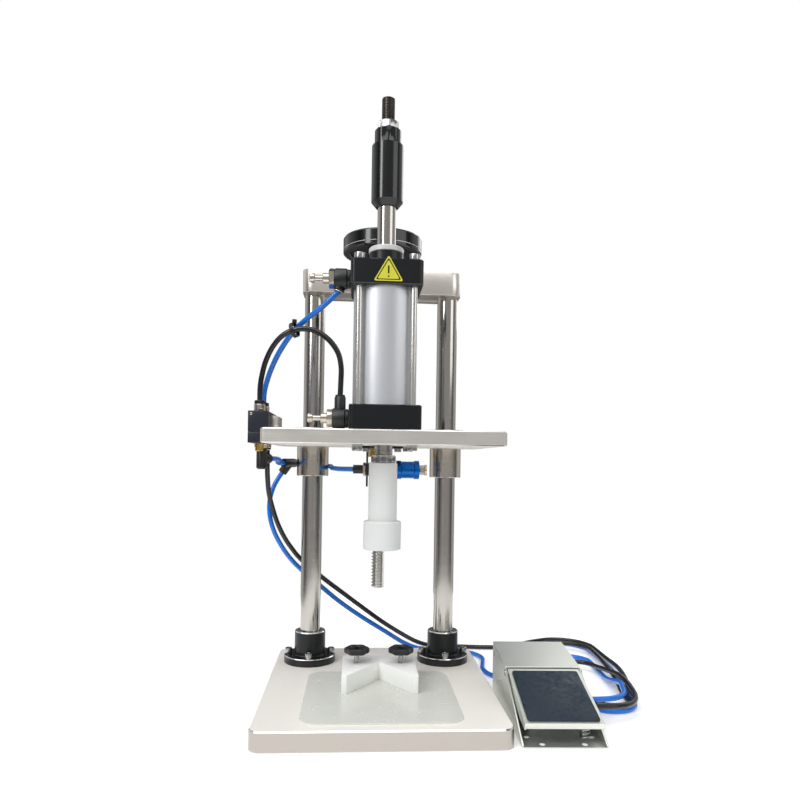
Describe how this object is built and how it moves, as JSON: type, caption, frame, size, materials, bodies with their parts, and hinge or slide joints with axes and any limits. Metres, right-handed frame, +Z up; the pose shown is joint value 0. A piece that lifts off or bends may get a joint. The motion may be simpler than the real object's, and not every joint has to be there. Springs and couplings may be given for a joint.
{
  "type": "capping machine",
  "caption": "Bench capping press with a height-adjustable air-cylinder carriage on two columns, a V-block bottle locator and a foot valve on two air hoses.",
  "frame": {"origin": "centre of the base plate's underside", "axes": "+Z up along the columns, +X to the operator's right, +Y away from the operator"},
  "size_m": [0.469, 0.3899, 0.658],
  "materials": {
    "blasted_aluminium": "fine bead-blasted plate with a bright milled edge",
    "brushed_aluminium": "brushed along its length",
    "satin_aluminium": "satin anodised drawn tube",
    "hard_chrome": "ground and hard-chromed bar",
    "bush_steel": "turned and ground bearing steel",
    "bright_steel": "bright turned steel",
    "black_anodised": "black anodised, semi-gloss",
    "black_plastic": "moulded black plastic, slightly glossy",
    "nickel": "nickel-plated brass",
    "white_polymer": "machined white polymer",
    "clear_mat": "thin translucent sheet",
    "brass": "bare turned brass",
    "blue_anodised": "glossy blue anodised sleeve",
    "blue_hose": "blue polyurethane tube",
    "black_hose": "black polyurethane tube",
    "coiled_hose": "blue and black tubes in loose loops",
    "sheet_steel": "folded stainless sheet, fine grain",
    "valve_block": "die-cast valve body",
    "tread_rubber": "dark rubber sheet, fine grain"
  },
  "bodies": {
    "stand": {"base_plate": "blasted_aluminium", "base_mat": "clear_mat", "foot_flanges": "black_anodised", "columns": "hard_chrome", "top_beam": "brushed_aluminium", "frame_screws": "bright_steel", "bearing_housing": "black_anodised", "screw_bearings": "bright_steel", "v_block": "white_polymer", "clamp_studs": "bright_steel", "supply_hose": "blue_hose", "signal_hose": "black_hose", "hose_coil": "coiled_hose", "pedal_tray": "sheet_steel", "pedal_cover": "sheet_steel", "pedal_valve": "valve_block", "pedal_fittings": "black_plastic", "pedal_pin": "bright_steel", "pedal_spring": "bright_steel"},
    "wheel": {"lead_screw": "bright_steel", "handwheel": "black_anodised"},
    "carriage": {"carriage_plate": "blasted_aluminium", "guide_bushes": "bush_steel", "screw_nut": "brass", "carriage_screws": "bright_steel", "lower_cap": "black_anodised", "cylinder_tube": "satin_aluminium", "upper_cap": "black_anodised", "tie_rods": "bright_steel", "bumper_ring": "white_polymer", "upper_controller": "black_plastic", "lower_controller": "black_plastic", "carriage_valve": "black_plastic", "valve_rail": "brushed_aluminium", "valve_fittings": "nickel", "silencers": "brass", "elbow_fitting": "black_plastic", "tee_fitting": "black_plastic", "hose_bracket": "black_anodised", "bulkhead_fitting": "nickel", "slide_valve": "nickel", "outlet_hose": "black_hose", "return_hose": "blue_hose", "link_hoses": "blue_hose"},
    "press": {"piston_rod": "hard_chrome", "piston": "bright_steel", "stroke_sleeve": "black_anodised", "rod_nuts": "bright_steel", "capping_head": "white_polymer"},
    "slide_ring": {"slide_sleeve": "blue_anodised"},
    "upper_screw": {"upper_needle": "nickel"},
    "lower_screw": {"lower_needle": "nickel"},
    "knob_l": {"left_knob": "black_plastic"},
    "knob_r": {"right_knob": "black_plastic"},
    "pedal": {"pedal_plate": "sheet_steel", "pedal_pad": "tread_rubber"},
    "button": {"pedal_plunger": "brass"}
  },
  "joints": [
    {"name": "handwheel_turn", "type": "hinge", "parent": "stand", "child": "wheel", "pos_m": [0, 0.085, 0.53], "axis": [0, 0, 1], "range_deg": [-10800, 7200]},
    {"name": "carriage_slide", "type": "slide", "parent": "stand", "child": "carriage", "axis": [0, 0, 1], "range_m": [-0.081, 0.121], "deforming": ["supply_hose", "signal_hose"]},
    {"name": "press_slide", "type": "slide", "parent": "carriage", "child": "press", "axis": [0, 0, 1], "range_m": [-0.0435, 0]},
    {"name": "sleeve_slide", "type": "slide", "parent": "carriage", "child": "slide_ring", "axis": [1, 0, 0], "range_m": [-0.008, 0]},
    {"name": "upper_screw_turn", "type": "hinge", "parent": "carriage", "child": "upper_screw", "pos_m": [-0.0675, -0.04, 0.463], "axis": [1, 0, 0], "continuous": true},
    {"name": "lower_screw_turn", "type": "hinge", "parent": "carriage", "child": "lower_screw", "pos_m": [-0.0675, -0.04, 0.314], "axis": [1, 0, 0], "continuous": true},
    {"name": "left_knob_turn", "type": "hinge", "parent": "stand", "child": "knob_l", "pos_m": [-0.025, 0.0025, 0.054], "axis": [0, 0, 1], "continuous": true},
    {"name": "right_knob_turn", "type": "hinge", "parent": "stand", "child": "knob_r", "pos_m": [0.025, 0.0025, 0.054], "axis": [0, 0, 1], "continuous": true},
    {"name": "pedal_hinge", "type": "hinge", "parent": "stand", "child": "pedal", "pos_m": [0.17571, -0.04506, 0.043], "axis": [0.9994, -0.0349, 0], "range_deg": [0, 7], "stiffness_Nm_per_rad": 6, "springref_deg": -14.32, "deforming": ["pedal_spring"]},
    {"name": "button_slide", "type": "slide", "parent": "stand", "child": "button", "axis": [0, 0, 1], "range_m": [-0.0028, 0]}
  ],
  "couplings": [
    {"joint": "carriage_slide", "follows": "handwheel_turn", "m_per_rad": -0.00063662},
    {"joint": "button_slide", "follows": "pedal_hinge", "m_per_rad": -0.0214}
  ]
}
